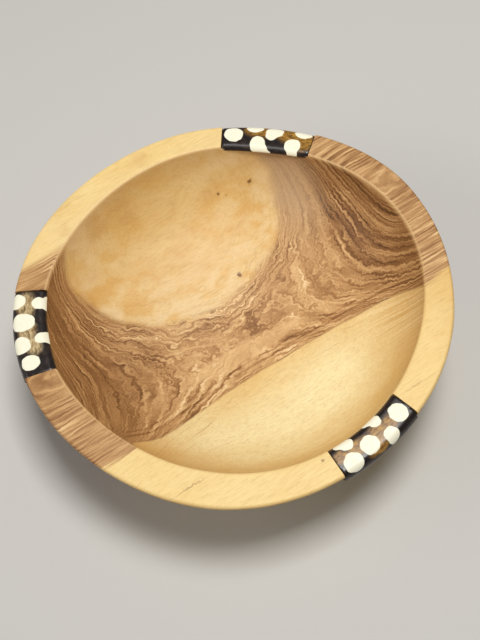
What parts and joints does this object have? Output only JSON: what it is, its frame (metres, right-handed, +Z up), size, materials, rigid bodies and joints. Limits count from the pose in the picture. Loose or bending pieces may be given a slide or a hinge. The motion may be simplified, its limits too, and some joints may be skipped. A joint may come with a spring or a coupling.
{
  "type": "bowl",
  "caption": "Round shallow hand-carved wooden bowl with a thick flat rim, a flat foot and dyed bone inlays glued into notches in the rim.",
  "frame": {"origin": "centre of the flat foot, on the surface the bowl stands on", "axes": "+Z up out of the hollow; +X to the right and +Y away as the bowl is seen from the front, with the inlays at 72, 183.5 and 301.5 degrees from +X towards +Y"},
  "size_m": [0.2006, 0.2003, 0.05],
  "materials": {
    "wood": "satin, hand sanded and waxed",
    "dyed_bone": "polished bone, dyed dark with pale dots",
    "glue": "dark hardened glue"
  },
  "bodies": {
    "root": {"bowl_body": "wood", "bone_inlay_back": "dyed_bone", "bone_inlay_left": "dyed_bone", "bone_inlay_front": "dyed_bone", "glue_bed_back": "glue", "glue_bed_left": "glue", "glue_bed_front": "glue"}
  },
  "joints": []
}
